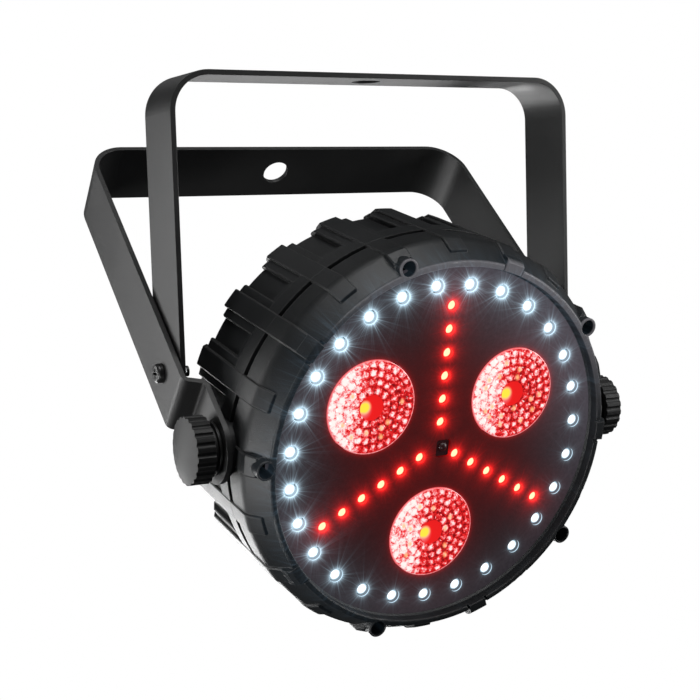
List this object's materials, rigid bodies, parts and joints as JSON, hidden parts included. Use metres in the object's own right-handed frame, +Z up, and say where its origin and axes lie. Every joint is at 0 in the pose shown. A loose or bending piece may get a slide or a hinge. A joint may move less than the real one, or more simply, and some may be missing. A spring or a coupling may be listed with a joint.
{
  "type": "par can light",
  "caption": "Round par can stage light: lit LED ring, rows and faceted lenses in a treaded black housing on a double tilting yoke.",
  "frame": {"origin": "centre of the clamp hole, on the top face of the front yoke's bar", "axes": "+Z up along the clamp hole and the upright front yoke, +X along the tilt axis to the right for someone facing the lamp, +Y away from them towards the back of the lamp"},
  "size_m": [0.2298, 0.2016, 0.2621],
  "materials": {
    "black_steel": "fine textured powder coat",
    "black_bolt": "black zinc",
    "zinc_steel": "bright zinc plate",
    "nylon": "matt",
    "knob_plastic": "fine spark-eroded texture",
    "black_abs": "fine moulded texture",
    "brass": "turned",
    "rubber": "matt",
    "smoked_panel": "satin smoked panel",
    "white_emitter": "glowing white",
    "red_emitter": "glowing red",
    "board_black": "solder mask",
    "ir_plastic": "dark red tinted",
    "aluminium": "mill finish",
    "board_green": "solder mask",
    "ferrite": "matt",
    "clear_glass": "clear",
    "display_segments": "dark red",
    "window_acrylic": "polished smoked red",
    "connector_black": "moulded nylon",
    "gold_pins": "gold plated",
    "lens_acrylic": "clear, lit red",
    "colour_emitter": "lit",
    "button_plastic": "satin"
  },
  "bodies": {
    "front_yoke": {"front_yoke": "black_steel", "pivot_bolts": "black_bolt", "pivot_nuts": "zinc_steel", "pivot_washers": "nylon"},
    "rear_yoke": {"rear_yoke": "black_steel"},
    "head": {"button_switches": "ferrite", "capacitors": "ferrite", "connector_screws": "zinc_steel", "control_board": "board_green", "control_board_columns": "brass", "control_chips": "ferrite", "cover_screws": "black_bolt", "display": "display_segments", "display_window": "window_acrylic", "dmx_inlet": "connector_black", "dmx_inlet_pins": "gold_pins", "dmx_outlet": "connector_black", "emitter_left": "colour_emitter", "emitter_lower": "colour_emitter", "emitter_right": "colour_emitter", "friction_washers": "rubber", "front_housing": "black_abs", "front_panel": "smoked_panel", "fuse": "clear_glass", "heat_sink": "aluminium", "housing_screws": "zinc_steel", "ir_receiver": "ir_plastic", "knob_inserts": "brass", "led_board": "board_black", "led_board_columns": "brass", "lens_holder_left": "connector_black", "lens_holder_lower": "connector_black", "lens_holder_right": "connector_black", "lens_left": "lens_acrylic", "lens_lower": "lens_acrylic", "lens_right": "lens_acrylic", "pivot_bosses": "black_abs", "power_board": "board_green", "power_board_columns": "brass", "power_inlet": "connector_black", "power_inlet_blades": "zinc_steel", "power_outlet": "connector_black", "rear_cover": "black_abs", "rear_housing": "black_abs", "row_leds": "red_emitter", "safety_loop": "zinc_steel", "transformer": "ferrite", "white_leds": "white_emitter"},
    "knob_washer_left": {"knob_washer_left": "zinc_steel"},
    "knob_left": {"knob_grip_left": "knob_plastic", "knob_stud_left": "zinc_steel"},
    "knob_washer_right": {"knob_washer_right": "zinc_steel"},
    "knob_right": {"knob_grip_right": "knob_plastic", "knob_stud_right": "zinc_steel"},
    "button_menu": {"button_menu": "button_plastic"},
    "button_down": {"button_down": "button_plastic"},
    "button_up": {"button_up": "button_plastic"},
    "button_enter": {"button_enter": "button_plastic"}
  },
  "joints": [
    {"name": "yoke_swing", "type": "hinge", "parent": "front_yoke", "child": "rear_yoke", "pos_m": [0, 0, -0.1345], "axis": [1, 0, 0], "range_deg": [-41.7, 138.3]},
    {"name": "head_tilt", "type": "hinge", "parent": "rear_yoke", "child": "head", "pos_m": [0, -0.03442, -0.16517], "axis": [1, 0, 0], "continuous": true},
    {"name": "knob_travel_left", "type": "slide", "parent": "head", "child": "knob_washer_left", "axis": [-1, 0, 0], "range_m": [0, 0.00125]},
    {"name": "knob_turn_left", "type": "hinge", "parent": "knob_washer_left", "child": "knob_left", "pos_m": [0, -0.03442, -0.16517], "axis": [-1, 0, 0], "range_deg": [0, 360.5]},
    {"name": "knob_travel_right", "type": "slide", "parent": "head", "child": "knob_washer_right", "axis": [1, 0, 0], "range_m": [0, 0.00125]},
    {"name": "knob_turn_right", "type": "hinge", "parent": "knob_washer_right", "child": "knob_right", "pos_m": [0, -0.03442, -0.16517], "axis": [1, 0, 0], "range_deg": [0, 360.5]},
    {"name": "press_menu", "type": "slide", "parent": "head", "child": "button_menu", "axis": [0, -0.9767, -0.2147], "range_m": [0, 0.0012], "stiffness_N_per_m": 400, "springref_m": -0.0005},
    {"name": "press_down", "type": "slide", "parent": "head", "child": "button_down", "axis": [0, -0.9767, -0.2147], "range_m": [0, 0.0012], "stiffness_N_per_m": 400, "springref_m": -0.0005},
    {"name": "press_up", "type": "slide", "parent": "head", "child": "button_up", "axis": [0, -0.9767, -0.2147], "range_m": [0, 0.0012], "stiffness_N_per_m": 400, "springref_m": -0.0005},
    {"name": "press_enter", "type": "slide", "parent": "head", "child": "button_enter", "axis": [0, -0.9767, -0.2147], "range_m": [0, 0.0012], "stiffness_N_per_m": 400, "springref_m": -0.0005}
  ],
  "couplings": [
    {"joint": "knob_turn_left", "follows": "knob_travel_left", "rad_per_m": 5026.5},
    {"joint": "knob_turn_right", "follows": "knob_travel_right", "rad_per_m": 5026.5}
  ]
}
